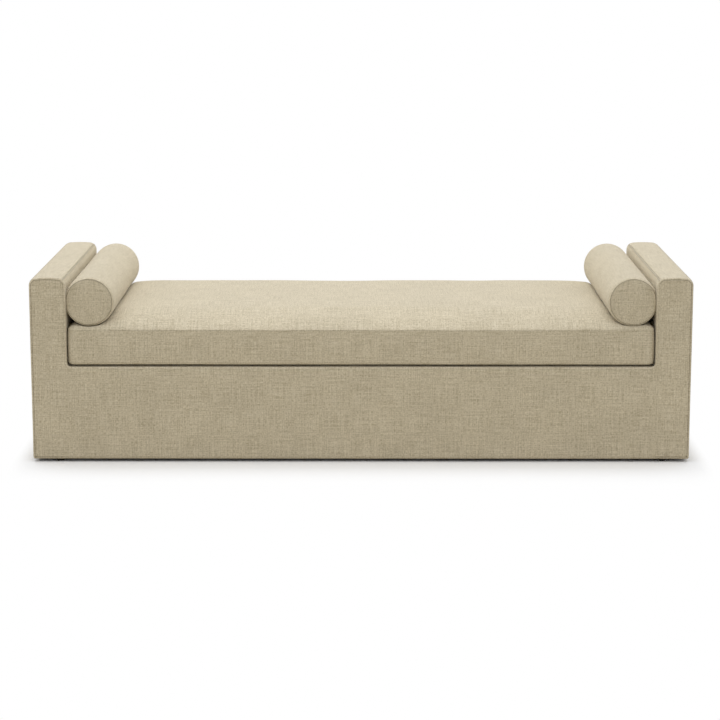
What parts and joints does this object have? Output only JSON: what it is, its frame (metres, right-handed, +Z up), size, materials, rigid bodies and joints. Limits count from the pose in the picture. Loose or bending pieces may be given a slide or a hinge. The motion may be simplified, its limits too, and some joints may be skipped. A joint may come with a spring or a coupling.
{
  "type": "backless divan",
  "caption": "Low upholstered divan without a back: box base with square arms, one crowned loose seat cushion and round bolsters.",
  "frame": {"origin": "on the floor, under the middle of the length and the depth", "axes": "+X along the length, -Y towards the front, +Z up"},
  "size_m": [2.134, 0.864, 0.606],
  "materials": {
    "linen": "matt slubby plain-weave linen blend, oatmeal",
    "cambric": "thin black spun-bonded dust cloth",
    "wadding": "white polyester wadding",
    "foam": "open-cell polyurethane foam",
    "felt": "needled grey insulator felt",
    "timber": "planed unfinished softwood and plywood",
    "board": "brown hardboard",
    "spring_steel": "oil-tempered spring wire",
    "clip_steel": "zinc-plated pressed strip",
    "glide_plastic": "black moulded polypropylene",
    "zip_tape": "woven beige zip tape with nylon coil",
    "zip_metal": "beige lacquered die-cast zinc"
  },
  "bodies": {
    "base": {"arm_left_back_pad": "foam", "arm_left_bottom_rail": "timber", "arm_left_deck_rail": "timber", "arm_left_front_pad": "foam", "arm_left_inner_cover": "linen", "arm_left_liners": "board", "arm_left_outer_cover": "linen", "arm_left_posts": "timber", "arm_left_top_cover": "linen", "arm_left_top_rail": "timber", "arm_left_wrap_pad": "foam", "arm_right_back_pad": "foam", "arm_right_bottom_rail": "timber", "arm_right_deck_rail": "timber", "arm_right_front_pad": "foam", "arm_right_inner_cover": "linen", "arm_right_liners": "board", "arm_right_outer_cover": "linen", "arm_right_posts": "timber", "arm_right_top_cover": "linen", "arm_right_top_rail": "timber", "arm_right_wrap_pad": "foam", "back_cover": "linen", "base_back_pad": "foam", "base_front_pad": "foam", "deck_cloth": "linen", "deck_felt": "felt", "deck_foam": "foam", "deck_spring_clips": "clip_steel", "deck_springs": "spring_steel", "deck_tie_wires": "spring_steel", "dust_cover": "cambric", "frame_back_rail": "timber", "frame_centre_leg": "timber", "frame_corner_blocks": "timber", "frame_front_rail": "timber", "frame_spreaders": "timber", "front_cover": "linen", "glides": "glide_plastic"},
    "seat_cushion": {"seat_bottom_panel": "linen", "seat_boxing": "linen", "seat_core": "foam", "seat_top_panel": "linen", "seat_wrap": "wadding", "seat_zip": "zip_tape"},
    "seat_zip_slider": {"seat_zip_slider": "zip_metal"},
    "bolster_left": {"bolster_left_barrel": "linen", "bolster_left_core": "foam", "bolster_left_end_discs": "linen", "bolster_left_zip": "zip_tape"},
    "bolster_left_zip_slider": {"bolster_left_zip_slider": "zip_metal"},
    "bolster_right": {"bolster_right_barrel": "linen", "bolster_right_core": "foam", "bolster_right_end_discs": "linen", "bolster_right_zip": "zip_tape"},
    "bolster_right_zip_slider": {"bolster_right_zip_slider": "zip_metal"}
  },
  "joints": [
    {"name": "seat_lift", "type": "slide", "parent": "base", "child": "seat_cushion", "axis": [0, 0, 1], "range_m": [0, 0.35]},
    {"name": "seat_zip", "type": "slide", "parent": "seat_cushion", "child": "seat_zip_slider", "axis": [-1, 0, 0], "range_m": [0, 1.49]},
    {"name": "bolster_left_lift", "type": "slide", "parent": "seat_cushion", "child": "bolster_left", "axis": [0, 0, 1], "range_m": [0, 0.25]},
    {"name": "bolster_left_zip", "type": "slide", "parent": "bolster_left", "child": "bolster_left_zip_slider", "axis": [0, -1, 0], "range_m": [0, 0.63]},
    {"name": "bolster_right_lift", "type": "slide", "parent": "seat_cushion", "child": "bolster_right", "axis": [0, 0, 1], "range_m": [0, 0.25]},
    {"name": "bolster_right_zip", "type": "slide", "parent": "bolster_right", "child": "bolster_right_zip_slider", "axis": [0, -1, 0], "range_m": [0, 0.63]}
  ]
}
